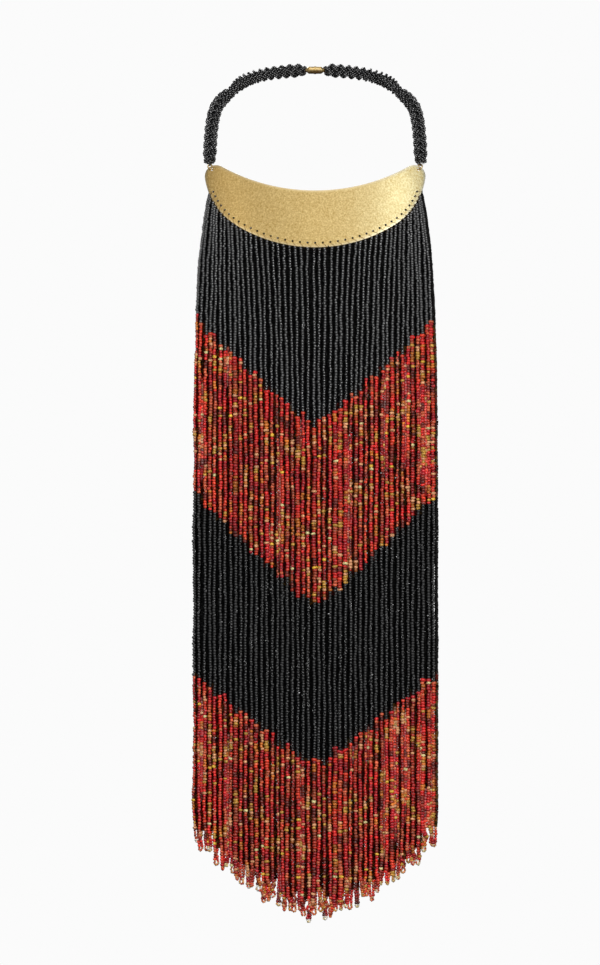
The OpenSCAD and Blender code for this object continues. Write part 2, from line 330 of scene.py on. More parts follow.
flat_points, loop_edges = [], []
for loop in loops:
    first = len(flat_points)
    flat_points += [Vector(p) for p in loop]
    loop_edges += [(first + i, first + (i + 1) % len(loop)) for i in range(len(loop))]
flat_points += [Vector(p) for p in lattice]
flat, _, faces, _, _, _ = geometry.delaunay_2d_cdt(flat_points, loop_edges, [], 0, 1e-7, False)
flat = np.array([tuple(p) for p in flat])
faces = np.array([tuple(f) for f in faces])
middles = flat[faces].mean(1)
kept = inside(middles, outline)
for centre, r, _ in hole_rims:
    kept &= np.hypot(*(middles - centre).T) > r
faces = faces[kept]


def on_sheet(points, depth):
    """Front view points put on the bent sheet, depth in front of its middle."""
    x, z = points[:, 0], points[:, 1]
    depth = depth + np.zeros(len(points))
    return np.stack((x, plate_y(x, z), z), -1) + plate_normal(x) * depth[:, None]


rim_distance = np.min([np.hypot(flat[:, 0] - x, flat[:, 1] - z) for x, z in outline], 0)
# How near each point is to the rim: it slopes the worn rim back, and lightens the rim's colour, partly as
# burnish and partly as a painted highlight.
rim_wear_and_painted_highlight = np.clip(1 - rim_distance / worn_w, 0, 1)
sheet = bmesh.new()
rim_burnish_and_highlight = sheet.verts.layers.float.new("burnished_rim_and_painted_highlight")
front_places = on_sheet(
    flat, plate_t / 2 + hammered_height(flat[:, 0], flat[:, 1]) - worn_depth * rim_wear_and_painted_highlight ** 2)
back_places = on_sheet(flat, -plate_t / 2 + hammered_height(flat[:, 1] + back_shift, flat[:, 0]))
front_verts = [sheet.verts.new(p) for p in front_places]
for vert, wear in zip(front_verts, rim_wear_and_painted_highlight):
    vert[rim_burnish_and_highlight] = wear
back_verts = [sheet.verts.new(p) for p in back_places]
for a, b, c in faces:
    sheet.faces.new((front_verts[a], front_verts[b], front_verts[c]))
    sheet.faces.new((back_verts[c], back_verts[b], back_verts[a]))
for loop, rounding in zip(loops, [rim_round] + [hole_round] * len(hole_rims)):
    nearest = [int(np.argmin(np.hypot(*(flat - p).T))) for p in loop]
    tangent = np.roll(loop, -1, 0) - np.roll(loop, 1, 0)
    outward = np.stack((tangent[:, 1], -tangent[:, 0]), -1) / np.hypot(*tangent.T)[:, None]
    rings = [[front_verts[i] for i in nearest]]
    for turn in (45, 90, 135):
        turn = math.radians(turn)
        ring = on_sheet(loop + outward * rounding * math.sin(turn), plate_t / 2 * math.cos(turn))
        rings.append([sheet.verts.new(p) for p in ring])
    rings.append([back_verts[i] for i in nearest])
    for near, far in zip(rings, rings[1:]):
        for i in range(len(loop)):
            j = (i + 1) % len(loop)
            sheet.faces.new((near[i], far[i], far[j], near[j]))
    for ring in (rings[0], rings[-1]):
        for vert, after in zip(ring, ring[1:] + ring[:1]):
            sheet.edges.get((vert, after)).smooth = False
loose = [v for v in sheet.verts if not v.link_faces]
bmesh.ops.delete(sheet, geom=loose, context="VERTS")
bmesh.ops.recalc_face_normals(sheet, faces=sheet.faces)
plate_mesh = bpy.data.meshes.new("crescent_plate_sheet")
sheet.to_mesh(plate_mesh)
sheet.free()
plate_mesh.shade_smooth()

# Hammered and brushed sheet brass: satin gold that breaks into fine glints, toned darker in
# the hollows, and lighter along the rim, partly burnished and partly a painted highlight. Its
# brush lines are drawn coarser than real ones.
hammered_brass, tree, shader = new_material("hammered_brushed_brass")
coords = add_node(tree, "ShaderNodeTexCoord").outputs["Object"]
mottle = add_node(tree, "ShaderNodeTexNoise", {
    "Vector": coords, "Scale": 1 / (1.3 * MM), "Detail": 4.0, "Roughness": 0.7})
cloud = add_node(tree, "ShaderNodeTexNoise", {"Vector": coords, "Scale": 1 / (28 * MM), "Detail": 2.0})
toned = add_node(tree, "ShaderNodeValToRGB", {0: mottle})
for stop, place, colour in zip(toned.color_ramp.elements, (0.3, 0.7), ("#C09A50", "#F6E0A2")):
    stop.position = place
    stop.color = linear(colour)
brushed_turn = add_node(tree, "ShaderNodeMapping", {
    "Vector": coords, "Rotation": (0, math.radians(35), 0), "Scale": (1 / 7.0, 1.0, 1.0)})
brushed = add_node(tree, "ShaderNodeTexNoise", {
    "Vector": brushed_turn, "Scale": 1 / (0.9 * MM), "Detail": 3.0})
worn = add_node(tree, "ShaderNodeMapRange", {
    "Value": cloud, "From Min": 0.3, "From Max": 0.7, "To Min": 0.42, "To Max": 0.5})
relief = add_node(tree, "ShaderNodeMath", {0: mottle, 1: brushed}, operation="ADD")
bump = add_node(tree, "ShaderNodeBump", {"Height": relief, "Strength": 0.7, "Distance": 0.1 * MM})
# The rim is lighter in colour: partly burnish, partly a painted highlight.
burnish = add_node(tree, "ShaderNodeAttribute", attribute_name="burnished_rim_and_painted_highlight")
bright = add_node(tree, "ShaderNodeMix", {
    "Factor": burnish.outputs["Fac"], 6: toned, 7: linear("#F2DEAE")}, data_type="RGBA")
set_inputs(shader, {"Base Color": bright.outputs[2], "Roughness": worn, "Normal": bump, "Metallic": 1.0})

plate = new_piece("hammered_crescent", plate_mesh, hammered_brass)
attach(plate, "root")
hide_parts("crescent_plate")
light(plate, "brass", "rear")


# Jump rings and barrel clasp
# Round brass wire bent into rings, and a turned barrel that screws together at the back.
# Both are polished, with the fine turning marks and the toning that wear leaves.

# Polished wire and turned rod brass: warmer and smoother than the plate, with soft highlights
# and faint turning rings round the barrel, which are drawn coarser than real ones.
polished_brass, tree, shader = new_material("polished_turned_brass")
coords = add_node(tree, "ShaderNodeTexCoord").outputs["Object"]
toning = add_node(tree, "ShaderNodeTexNoise", {"Vector": coords, "Scale": 1 / (1.8 * MM), "Detail": 4.0})
tone = add_node(tree, "ShaderNodeValToRGB", {0: toning})
for stop, place, colour in zip(tone.color_ramp.elements, (0.35, 0.7), ("#DDB870", "#F8E0A8")):
    stop.position = place
    stop.color = linear(colour)
turned = add_node(tree, "ShaderNodeMapping", {"Vector": coords, "Scale": (1.0, 0.05, 0.05)})
marks = add_node(tree, "ShaderNodeTexNoise", {"Vector": turned, "Scale": 1 / (0.25 * MM), "Detail": 2.0})
bump = add_node(tree, "ShaderNodeBump", {"Height": marks, "Strength": 0.25, "Distance": 0.03 * MM})
set_inputs(shader, {"Base Color": tone, "Normal": bump, "Metallic": 1.0, "Roughness": 0.46})
for name in ("jump_ring_left", "jump_ring_right", "barrel_clasp"):
    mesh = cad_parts[name].data
    mesh.materials.clear()
    mesh.materials.append(polished_brass)
    light(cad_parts[name], "brass", "rear")


# Braid
# Six plies, three on each side, each of three strings of small black glass beads. They are
# plaited from the jump rings up and round to the back, and meet in the clasp.

ring_wire = 1.2 * MM
ring_d = 5 * MM
clasp_l = 15 * MM
seat_gap = 0.5 * MM
ring_seat_gap = 0.6 * MM
braid_pitch = 21 * MM
braid_swing = 3.6 * MM
braid_rise = 2.6 * MM
knot_steps = 8
face_start = math.radians(90)
face_turn = math.radians(165)
turned_share = 0.75
end_size = 0.6
end_draw = 5 * MM
braid_bead_d = 2.3 * MM
braid_bead_l = 1.9 * MM
braid_bead_spread = 0.06 * MM
string_beads = 220  # more than a string takes, as it is filled until it ends
course_steps = 1200
string_half_gap = 1.15 * MM
bundle = ((-1, 0.5), (1, 0.5), (0, -1.1))  # a ply's three strings, across and out, in half gaps


def on_ring(out):
    """Point off the right horn's hole, in the sheet's plane and in line with the ring."""
    x, z = horn_hole
    turn = math.asin(x / bend_r)
    across, rise = out * math.sin(ring_angle), out * math.cos(ring_angle)
    return np.array((x, plate_y(x, z), z)) + np.array((
        across * math.cos(turn),
        across * math.sin(turn) * math.cos(plate_lean) + rise * math.sin(plate_lean),
        rise * math.cos(plate_lean) - across * math.sin(turn) * math.sin(plate_lean)))


route_knots = np.array([
    [clasp_l / 2 / MM + seat_gap / MM, 0, 0], [23, -4, -1], [42, -15, -4], [56, -32, -9],
    [64.5, -49, -15], [73, -62, -23], [79.5, -72, -32], [82.5, -80, -44],
    [84, -87, -59], [84.5, -91, -70], on_ring(ring_d + ring_wire / 2 + ring_seat_gap) / MM,
]) * MM


def smooth(a, b, c, d, t):
    """Smooth curve through b and c, the middle two of four knots."""
    return (b + t / 2 * (c - a) + t ** 2 / 2 * (2 * a - 5 * b + 4 * c - d)
            + t ** 3 / 2 * (3 * b - a - 3 * c + d))


last_knot = len(route_knots) - 1
route = [
    smooth(route_knots[max(i - 1, 0)], route_knots[i], route_knots[i + 1],
           route_knots[min(i + 2, last_knot)], k / knot_steps)
    for i in range(last_knot) for k in range(knot_steps)
]
route = np.array(route + [route_knots[-1]])


def lengths_along(path):
    """Length from a path's start to each of its points."""
    return np.concatenate(([0], np.cumsum(np.linalg.norm(np.diff(path, axis=0), axis=1))))


run = lengths_along(route)
braid_l = run[-1]


def along_route(s):
    """Points of the braid's middle at lengths s from the clasp."""
    return np.stack([np.interp(s, run, route[:, axis]) for axis in range(3)], -1)


def unit(v):
    """Directions of vectors."""
    return v / np.linalg.norm(v, axis=-1, keepdims=True)


def ply_course(ply, s):
    """Middle of a ply and the outward direction of the braid's face, at lengths s."""
    ahead = unit(along_route(np.minimum(s + MM, braid_l)) - along_route(np.maximum(s - MM, 0)))
    turned = np.minimum(1, s / braid_l / turned_share)
    bearing = face_start - face_turn * (3 * turned ** 2 - 2 * turned ** 3)
    out = np.stack((np.cos(bearing), np.sin(bearing), 0 * bearing), -1)
    out = unit(out - (out * ahead).sum(-1, keepdims=True) * ahead)
    across = np.cross(ahead, out)
    phase = math.tau * (s / braid_pitch + ply / 3)
    size = np.minimum(1, end_size + (1 - end_size) * np.minimum(s, braid_l - s) / end_draw)
    middle = along_route(s)
    middle = middle + (size * braid_swing * np.sin(phase))[:, None] * across
    middle = middle + (size * braid_rise * np.sin(2 * phase))[:, None] * out
    return middle, out, size


def threaded(path, lengths):
    """Beads threaded on a path one after the other: their middles and directions."""
    reach = lengths_along(path)
    ends = np.concatenate(([0], np.cumsum(lengths)))
    ends = ends[ends <= reach[-1]]
    knots = np.stack([np.interp(ends, reach, path[:, axis]) for axis in range(3)], -1)
    return (knots[1:] + knots[:-1]) / 2, unit(knots[1:] - knots[:-1])


def shape_tree(name, **sizes):
    """A Geometry Nodes tree with named inputs, and those inputs."""
    tree = bpy.data.node_groups.new(name, "GeometryNodeTree")
    tree.interface.new_socket("Geometry", in_out="OUTPUT", socket_type="NodeSocketGeometry")
    for label, kind in {"Geometry": "Geometry", **sizes}.items():
        label = label.replace("_", " ")
        tree.interface.new_socket(label, in_out="INPUT", socket_type=f"NodeSocket{kind}")
    return tree, add_node(tree, "NodeGroupInput").outputs


def end_tree(tree, shape, material):
    """Makes a tree's instances real and smooth, and gives them their material."""
    real = add_node(tree, "GeometryNodeRealizeInstances", {"Geometry": shape})
    shaded = add_node(tree, "GeometryNodeSetShadeSmooth", {"Geometry": real})
    done = add_node(tree, "GeometryNodeSetMaterial", {"Geometry": shaded, "Material": material})
    add_node(tree, "NodeGroupOutput", {0: done})


def run_tree(piece, tree, values):
    """Gives a piece the plain mesh that a tree makes of it with these values."""
    modifier = piece.modifiers.new(tree.name, "NODES")
    modifier.node_group = tree
    for item in tree.interface.items_tree:
        if item.name in values and item.in_out == "INPUT":
            modifier[item.identifier] = values[item.name]
    depsgraph = bpy.context.evaluated_depsgraph_get()
    mesh = bpy.data.meshes.new_from_object(piece.evaluated_get(depsgraph), depsgraph=depsgraph)
    piece.modifiers.clear()
    piece.data = mesh


def bead_tree():
    """A glass bead on each point, turned to its thread, sized and spun."""
    tree, given = shape_tree(
        "seed_beads_on_a_thread", Bead_diameter="Float", Bead_length="Float", End_narrowing="Float",
        Sides="Int", Rings="Int", Seed="Int", Glass="Material")
    half = add_node(tree, "ShaderNodeMath", {0: given["Bead length"], 1: 0.5}, operation="MULTIPLY")
    below = add_node(tree, "ShaderNodeMath", {0: half, 1: -1.0}, operation="MULTIPLY")
    start = add_node(tree, "ShaderNodeCombineXYZ", {"Z": below})
    end = add_node(tree, "ShaderNodeCombineXYZ", {"Z": half})
    line = add_node(tree, "GeometryNodeCurvePrimitiveLine", {"Start": start, "End": end})
    axis = add_node(tree, "GeometryNodeResampleCurve", {"Curve": line, "Count": given["Rings"]})
    radius = add_node(tree, "ShaderNodeMath", {0: given["Bead diameter"], 1: 0.5}, operation="MULTIPLY")
    girth = add_node(tree, "GeometryNodeCurvePrimitiveCircle", {
        "Resolution": given["Sides"], "Radius": radius})
    along = add_node(tree, "GeometryNodeSplineParameter").outputs["Factor"]
    centred = add_node(tree, "ShaderNodeMath", {0: along, 1: 2.0, 2: -1.0}, operation="MULTIPLY_ADD")
    near_end = add_node(tree, "ShaderNodeMath", {0: centred, 1: centred}, operation="MULTIPLY")
    drop = add_node(
        tree, "ShaderNodeMath", {0: near_end, 1: given["End narrowing"]}, operation="MULTIPLY")
    width = add_node(tree, "ShaderNodeMath", {0: 1.0, 1: drop}, operation="SUBTRACT")
    marked = add_node(tree, "GeometryNodeStoreNamedAttribute", {
        "Geometry": axis, "Name": "bead_end", "Value": near_end}, data_type="FLOAT")
    bead = add_node(tree, "GeometryNodeCurveToMesh", {
        "Curve": marked, "Profile Curve": girth,
        "Scale": width, "Fill Caps": True})
    heading = add_node(tree, "GeometryNodeInputNamedAttribute", {"Name": "along"}, data_type="FLOAT_VECTOR")
    size = add_node(tree, "GeometryNodeInputNamedAttribute", {"Name": "size"}, data_type="FLOAT_VECTOR")
    turned = add_node(tree, "FunctionNodeAlignRotationToVector", {"Vector": heading}, axis="Z")
    spin = add_node(tree, "FunctionNodeRandomValue", {"Seed": given["Seed"]}, data_type="FLOAT")
    spin.inputs[3].default_value = math.tau
    spun = add_node(tree, "FunctionNodeAxisAngleToRotation", {"Axis": (0, 0, 1), "Angle": spin.outputs[1]})
    turned = add_node(tree, "FunctionNodeRotateRotation", {
        "Rotation": turned, "Rotate By": spun}, rotation_space="LOCAL")
    strung = add_node(tree, "GeometryNodeInstanceOnPoints", {
        "Points": given["Geometry"], "Instance": bead,
        "Rotation": turned, "Scale": size})
    end_tree(tree, strung, given["Glass"])
    return tree


beads_on_thread = bead_tree()


def bead_piece(
        name, middles, directions, sizes, tints, glass, sides, rings, diameter, length, narrowing, seed):
    """One mesh of beads, from the points that they are threaded on."""
    points = bpy.data.meshes.new(name)
    points.from_pydata([tuple(p) for p in middles], [], [])
    for label, kind, key, values in (
            ("along", "FLOAT_VECTOR", "vector", directions), ("size", "FLOAT_VECTOR", "vector", sizes),
            ("glass_tint", "FLOAT_COLOR", "color", tints)):
        layer = points.attributes.new(label, kind, "POINT")
        layer.data.foreach_set(key, np.asarray(values, np.float32).ravel())
    piece = new_piece(name, points)
    run_tree(piece, beads_on_thread, {
        "Bead diameter": diameter, "Bead length": length, "End narrowing": narrowing, "Sides": sides,
        "Rings": rings, "Seed": seed, "Glass": glass})
    for label in ("along", "size"):
        if label in piece.data.attributes:
            piece.data.attributes.remove(piece.data.attributes[label])
    return piece


def seed_bead_glass(name, swirl_l, detail, swirl, tones, joint_painted_shade, polish, gloss_share, ior):
    """Glass in each bead's own tint, swirled inside with partly painted glints, and dull and darkened by
    painted shade where beads meet.
    """
    glass, tree, shader = new_material(name)
    coords = add_node(tree, "ShaderNodeTexCoord").outputs["Object"]
    tint = add_node(tree, "ShaderNodeAttribute", attribute_name="glass_tint")
    joint = add_node(tree, "ShaderNodeAttribute", attribute_name="bead_end")
    swirls = add_node(tree, "ShaderNodeTexNoise", {"Vector": coords, "Scale": 1 / swirl_l, "Detail": detail})
    # The swirls lighten and darken the glass: partly streaks in it, and partly painted glints.
    lift = add_node(tree, "ShaderNodeMapRange", {
        "Value": swirls, "From Min": swirl[0], "From Max": swirl[1],
        "To Min": tones[0], "To Max": tones[1]})
    # The colour darkens towards each bead's ends: painted shade where the beads meet.
    shade = add_node(tree, "ShaderNodeMapRange", {
        "Value": joint.outputs["Fac"], "From Min": 0.15, "To Min": 1.0, "To Max": joint_painted_shade})
    toned = add_node(tree, "ShaderNodeMath", {0: lift, 1: shade}, operation="MULTIPLY")
    dyed = add_node(tree, "ShaderNodeMix", {
        "Factor": 1.0, 6: tint.outputs["Color"], 7: toned}, data_type="RGBA", blend_type="MULTIPLY")
    pitted = add_node(tree, "ShaderNodeMapRange", {
        "Value": swirls, "To Min": polish[0], "To Max": polish[1]})
    glossed = add_node(tree, "ShaderNodeMath", {
        0: tint.outputs["Alpha"], 1: -gloss_share, 2: pitted}, operation="MULTIPLY_ADD")
    rough = add_node(tree, "ShaderNodeMath", {
        0: joint.outputs["Fac"], 1: 0.45, 2: glossed}, operation="MULTIPLY_ADD")
    bump = add_node(tree, "ShaderNodeBump", {"Height": swirls, "Strength": 0.2, "Distance": 0.1 * MM})
    set_inputs(shader, {"Base Color": dyed.outputs[2], "Roughness": rough, "Normal": bump, "IOR": ior})
    return glass


# Drawn jet glass, opaque: deep black with a small bright glint on each bead, and painted shade at the
# joints.
# The alpha of a bead's tint is its gloss, as beads rub dull where they lie behind or bunch.
black_glass = seed_bead_glass(
    "opaque_jet_seed_bead_glass", swirl_l=1.6 * MM, detail=2.0, swirl=(0.0, 1.0), tones=(0.6, 1.5),
    joint_painted_shade=0.25, polish=(0.62, 0.72), gloss_share=0.46, ior=2.0)
black_tints = [linear(c) for c in ("#060607", "#09090B", "#0E0F11")]
dice = np.random.default_rng(23)
for side, word in ((LEFT, "left"), (RIGHT, "right")):
    for ply in range(3):
        s = np.linspace(0, braid_l, course_steps)
        middle, out, size = ply_course(ply, s)
        ahead = unit(np.gradient(middle, axis=0))
        beside = unit(np.cross(ahead, out))
        above = np.cross(beside, ahead)
        strings = []
        for across, rise in bundle:
            path = middle + (beside * across + above * rise) * (string_half_gap * size)[:, None]
            lengths = dice.normal(braid_bead_l, braid_bead_spread, string_beads)
            lengths[0] *= dice.uniform(0.4, 1)
            strings.append(threaded(path, lengths))
        middles, directions = [np.concatenate(parts) * (side, 1, 1) for parts in zip(*strings)]
        girth = dice.normal(1, 0.05, len(middles))
        sizes = np.stack((girth, girth, np.ones_like(girth)), -1)
        tints = [black_tints[i] for i in dice.integers(0, 3, len(middles))]
        piece = bead_piece(
            f"{word}_braid_ply_{ply + 1}_beads", middles, directions, sizes, tints, black_glass,
            sides=6, rings=4, diameter=braid_bead_d, length=braid_bead_l, narrowing=0.5,
            seed=ply + 3 * side)
        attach(piece, "root")
        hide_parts(f"braid_{word}_ply_{ply + 1}")
        light(piece, "plait", "rear")


# Fringe
# 94 strands of glass seed beads hang from the plate as 47 loops, down in front, round a few
# small clear beads at the tip and up behind. Black and mixed red bands cross them in a vee,
# and in the red ones some back strands come forward between the front ones.

strand_count = 94
pair_count = strand_count // 2
fringe_half_w = 97 * MM
bead_d = 3 * MM
bead_l = 2.2 * MM
layer_gap = 3.5 * MM
fringe_gap = 0.3 * MM
fringe_reach = 30 * MM
fringe_bow = 14 * MM
free_drop = 310 * MM
flare_l = 57 * MM
ragged = 5 * MM
drops = {  # of the colour borders and the tips: at the side and at the middle
    1: (202 * MM, 284 * MM), 2: (342 * MM, 428 * MM), 3: (487 * MM, 557 * MM), 4: (622 * MM, 682 * MM)}
TIPS = 4
blunt = 0.1
swag_power = 1.6
waves = ((0.6, 137.5, 77), (0.4, 61, 23))  # part, degrees a strand and degrees a border


def share(strand):
    """Place of a strand in the fringe, from -1 on the left to 1."""
    return 2 * strand / (strand_count - 1) - 1


def strand_top(strand):
    """Front view point where a strand leaves the plate's edge."""
    return edge_point(row_place(share(strand)), fringe_gap)


def strand_course(strand, z):
    """Middle of the fringe's two layers on a strand's line, at heights z."""
    u = share(strand)
    x, top = strand_top(strand)
    spread = 1 - np.exp((z - top) / flare_l)
    slope_left = (1 - np.minimum(1, (top - z) / (top + free_drop))) ** 2
    hang_y = fringe_bow * u ** 2 - plate_reach - fringe_reach
    return np.stack((
        x + (fringe_half_w * u - x) * spread, hang_y + (plate_y(x, top) - hang_y) * slope_left, z), -1)


def level_z(strand, level):
    """Height of a colour border or a tip on a strand."""
    u = share(strand)
    number = 2 * (strand // 2) if level == TIPS else strand
    inward = 1 - abs(u) ** swag_power
    if level != TIPS:
        inward = 1 - (math.hypot(u, blunt) - blunt) / (math.hypot(1, blunt) - blunt)
    uneven = sum(
        part * math.sin(math.radians(turn * number + step * level)) for part, turn, step in waves)
    at_side, at_middle = drops[level]
    return ragged * uneven - at_side - (at_middle - at_side) * inward


tip_bead_l = 1.5 * MM
tip_bead_d = 2.1 * MM
tight_loop, open_loop = (1.1, 1.3), (1.5, 1.85)  # radii of the tips' loops in millimetres
pinch = 0.52 * tip_bead_d  # half the gap where a loop's thread comes together
pinch_l, pinch_fade, pinch_top = 6 * MM, 4 * MM, 8 * MM
touching = 0.4 * bead_d  # half the distance of two strands that lean on each other
lean_l = 35 * MM
weave_in = 2 * MM
fade_l = 12 * MM
behind_gap = plate_t / 2 + 0.6 * bead_d
behind_rise = 5.2 * MM
tuck_l = 7 * MM
path_step = 0.5 * MM
FRONT, BETWEEN, BACK = 0, 1, 2
DOWN, ROUND, UP = 0, 1, 2

slow_l, quick_l, crowd_l = 105 * MM, 43 * MM, 90 * MM
wander = np.random.default_rng(8).uniform(0, math.tau, (4, pair_count + 1))


def ease(t):
    """Goes smoothly from 0 to 1 as t does, and stays there."""
    t = np.clip(t, 0, 1)
    return t * t * (3 - 2 * t)


def sway(pair, z):
    """How far a front strand wanders sideways at heights z, and crowds its neighbour below."""
    slow, quick = math.tau * z / slow_l, math.tau * z / quick_l
    end = level_z(min(2 * pair, strand_count - 2), TIPS)
    return MM * (0.32 * np.sin(wander[2, pair]) + 0.3 * np.sin(slow + wander[0, pair])
                 + 0.15 * np.sin(quick + wander[1, pair])
                 + 0.6 * np.sin(wander[3, pair]) * ease((end + crowd_l - z) / crowd_l))


def gap_between(pair, z):
    """Distance from a front strand's middle to the next one's, at heights z."""
    pair = min(pair, pair_count - 2)
    here, after = strand_course(2 * pair, z), strand_course(2 * pair + 2, z)
    return after[:, 0] + sway(pair + 1, z) - here[:, 0] - sway(pair, z)


def come_between(strand, z, stretch, phase, strength):
    """How far a back strand comes forward between two front ones, from 0 to 1, at heights z."""
    in_red = sum(
        ease((level_z(strand, upper) - z) / fade_l) * ease((z - level_z(strand, lower)) / fade_l)
        for upper, lower in ((1, 2), (3, TIPS)))
    return strength * in_red * ease((np.sin(math.tau * z / stretch + phase) - 0.45) / 0.4)


def loop_path(pair, low, loop_r, twist_l, twist, lean, wave):
    """Course of a loop's thread, its length to the tip and its whole length."""
    front, behind = 2 * pair, 2 * pair + 1
    pinch_rise = math.sqrt(loop_r ** 2 - pinch ** 2)
    strands = []
    for strand in (front, behind):
        top = strand_top(strand)[1]
        z = np.arange(top + (0 if strand == front else behind_rise), low, -path_step)
        here = strand_course(strand, z)
        middle = (strand_course(front, z) + strand_course(behind, z)) / 2
        offset = here - middle
        offset[:, 1] += -layer_gap / 2 if strand == front else layer_gap / 2
        offset[:, 2] = 0
        if strand == behind:
            sheet_y = plate_y(here[:, 0], z) + behind_gap
            near = ease((z - top + tuck_l) / tuck_l)
            offset[:, 1] += near * (sheet_y - middle[:, 1] - offset[:, 1])
            offset[:, 1] -= weave_in * come_between(behind, z, *wave) * (1 - near)
        offset[:, 0] += sway(pair, z) if strand == front else (sway(pair, z) + sway(pair + 1, z)) / 2
        close = ease((low + twist_l - z) / twist_l)
        angle = twist * close
        x, y = offset[:, 0].copy(), offset[:, 1].copy()
        offset[:, 0] = x * np.cos(angle) - y * np.sin(angle)
        offset[:, 1] = x * np.sin(angle) + y * np.cos(angle)
        reach = np.hypot(offset[:, 0], offset[:, 1])
        apart = reach + (touching - reach) * close
        rise = z - low
        in_loop = np.where(
            rise < pinch_rise, np.sqrt(np.maximum(loop_r ** 2 - rise ** 2, 0)),
            pinch + (touching - pinch) * ease((rise - pinch_rise) / pinch_l))
        apart += (in_loop - apart) * ease((pinch_rise + pinch_top - rise) / pinch_fade)
        offset *= (apart / reach)[:, None]
        middle[:, 0] += lean * ease((low + lean_l - z) / lean_l) ** 2
        strands.append(middle + offset)
    down, up = strands
    bottom = (down[-1] + up[-1]) / 2
    angles = np.linspace(0, math.pi, 14)[1:-1, None]
    bend = bottom + (down[-1] - bottom) * np.cos(angles) - np.array((0, 0, loop_r)) * np.sin(angles)
    path = np.concatenate((down, bend, up[::-1]))
    travel = lengths_along(path)
    return path, travel[len(down) + len(bend) // 2], travel[-1]


def bead_lengths(tip_at, whole_l, tip_run):
    """Lengths of a loop's beads, and which of them go down, round the tip and up."""
    lengths, legs = [], []
    for leg, run_l, each in (
            (DOWN, tip_at - tip_run, bead_l), (ROUND, 2 * tip_run, tip_bead_l),
            (UP, whole_l - tip_at - tip_run, bead_l)):
        some = np.clip(dice.normal(1, 0.09, round(run_l / each)), 0.75, 1.25)
        lengths.append(some * run_l / some.sum())
        legs.append(np.full(len(some), leg))
    lengths = np.concatenate(lengths)
    lengths[-1] *= 0.99
    return lengths, np.concatenate(legs)


reds = {
    "crimson": ("#C82029", 0.20), "scarlet": ("#EC2A26", 0.22), "vermilion": ("#EC4226", 0.20),
    "coral": ("#E26640", 0.13), "orange": ("#E4802A", 0.04), "garnet": ("#8E2C20", 0.12),
    "peach": ("#E0A070", 0.04), "gold": ("#C8963A", 0.04), "yellow": ("#F0BE3A", 0.015),
    "cream": ("#E6DA98", 0.015),
}
# Darker, browner reds for the back strands: painted shade, where the front strands shade them.
painted_shade_reds = {
    "olive": ("#646024", 0.20), "old gold": ("#B88C2E", 0.24), "garnet": ("#80301E", 0.18),
    "maroon": ("#5A321A", 0.12), "crimson": ("#BC3424", 0.14), "rust": ("#B84C26", 0.12),
}
clears = {
    "clear": ("#F6F1E2", 0.24), "straw": ("#EBD595", 0.28), "honey": ("#E0A04C", 0.26),
    "rose": ("#DE5236", 0.22),
}
round_ones = ("peach", "gold", "yellow", "cream")
first_ones = ("scarlet", "vermilion", "crimson", "coral")
pale_ones = ("coral", "vermilion", "orange", "peach", "gold")
pale_wave = 62 * MM
strand_girths, strand_girth_parts = (0.8, 0.96, 1.1, 1.32), (0.2, 0.38, 0.27, 0.15)
strand_strengths, strand_strength_parts = (0.62, 0.85, 1.0), (0.2, 0.3, 0.5)


def mixture(table):
    """Names, linear colours and shares of a bead mixture."""
    names = list(table)
    parts = np.array([table[name][1] for name in names])
    return names, np.array([linear(table[name][0]) for name in names]), parts / parts.sum()


red_names, red_tints, red_parts = mixture(reds)
shaded_names, shaded_tints, shaded_parts = mixture(painted_shade_reds)
clear_names, clear_tints, clear_parts = mixture(clears)
first_kinds, round_kinds, pale_kinds = [
    [red_names.index(name) for name in names] for names in (first_ones, round_ones, pale_ones)]


def mixed_reds(z):
    """Which red each bead of a loop is and how strong, in short runs with pale stretches."""
    kinds = np.repeat(dice.choice(len(red_names), len(z), p=red_parts), dice.integers(1, 4, len(z)))
    kinds = kinds[:len(z)]
    again = np.isin(kinds, round_kinds) & (kinds == np.roll(kinds, 1))
    kinds[again] = dice.choice(first_kinds, again.sum())
    pale = np.sin(math.tau * z / pale_wave + dice.uniform(0, math.tau)) > 0.82
    kinds[pale] = dice.choice(pale_kinds, pale.sum())
    strength = dice.choice(strand_strengths, p=strand_strength_parts) * dice.uniform(0.6, 1.3, len(z))
    strength[np.isin(kinds, round_kinds)] = 1.1
    return kinds, strength


# What varies from loop to loop: lengths in millimetres, turns above the tip in degrees.
loop_parts = (0.6, 0.4)
more_tip_run = (0, 2)
twist_ls = (9, 18)
twists, twist_parts, twist_spread = (-38, 142, 322), (0.5, 0.3, 0.2), 22
weave_ls, weave_share = (250, 450), 0.45
pale_tip_share = 0.5
lean_spread, most_lean = 0.9, 1.8
front_girths = (0.9, 1.06)
long_gleam, short_gleam = 33 * MM, 12 * MM

# What varies from bead to bead: girths as shares of a fringe bead's own.
girth_spread, girth_range = 0.045, (0.88, 1.12)
behind_girths, between_girths = (1.1, 1.85), (1.1, 1.6)
overlap, mean_narrowing = 0.5 * MM, 0.82
stray, tilt_spread = 0.2 * MM, 0.13
round_share, round_girth, border_girth = 0.6, 1.16, 1.22

